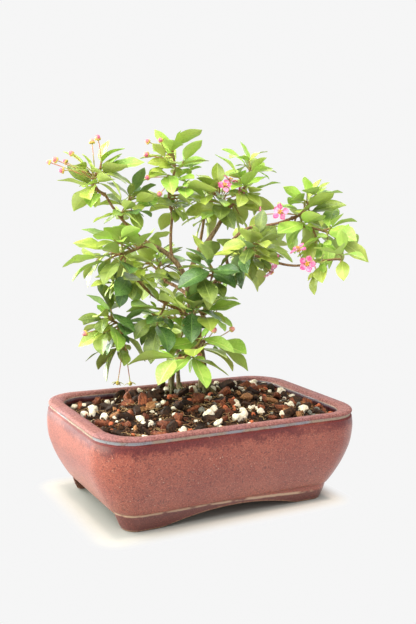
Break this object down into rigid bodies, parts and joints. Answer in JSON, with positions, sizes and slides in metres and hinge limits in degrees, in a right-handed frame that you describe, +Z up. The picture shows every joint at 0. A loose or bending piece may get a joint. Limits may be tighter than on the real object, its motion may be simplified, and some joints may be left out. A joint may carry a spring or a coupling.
{
  "type": "barbados cherry bonsai in a pot",
  "caption": "Small flowering bonsai tree with slim stems from one root, an open crown of leafy boughs with pink blossom, and an oblong glazed pot on corner feet.",
  "frame": {"origin": "middle of the whole part's box, on the flat underside of the pot's feet", "axes": "+Z up, X along the pot's long side, -Y towards the side with the lowest leaves"},
  "size_m": [0.2126, 0.1908, 0.2664],
  "materials": {
    "pot_glaze": "mottled brownish red glaze, satin, with a dark speckled band and a pale lip",
    "soil": "loose bark chips, pumice and humus, matt",
    "bark": "thin grey-brown bark, finely grooved, matt",
    "foliage": "smooth green leaves with a soft gloss, lime where young",
    "blossom": "pink petals and buds on thin salmon stalks"
  },
  "bodies": {
    "root": {"blossom_right": "blossom", "bough_back_high": "bark", "bough_back_left": "bark", "bough_back_low": "bark", "bough_back_right": "bark", "bough_left": "bark", "bough_left_high": "bark", "bough_left_long": "bark", "bough_low_left": "bark", "bough_mid_left": "bark", "bough_right": "bark", "bough_right_high": "bark", "bough_right_low": "bark", "bough_upper": "bark", "leaves_back_high": "foliage", "leaves_back_left": "foliage", "leaves_back_low": "foliage", "leaves_back_right": "foliage", "leaves_centre": "foliage", "leaves_front": "foliage", "leaves_left": "foliage", "leaves_low_left": "foliage", "leaves_low_middle": "foliage", "leaves_low_stem": "foliage", "leaves_mid_left": "foliage", "leaves_middle": "foliage", "leaves_middle_right": "foliage", "leaves_right_high": "foliage", "leaves_right_middle": "foliage", "leaves_right_tip": "foliage", "leaves_tip_left": "foliage", "leaves_top": "foliage", "leaves_top_left": "foliage", "leaves_top_right": "foliage", "leaves_upper_left": "foliage", "pot": "pot_glaze", "soil": "soil", "stem_left": "bark", "stem_middle": "bark", "stem_right": "bark", "trunk": "bark"}
  },
  "joints": []
}
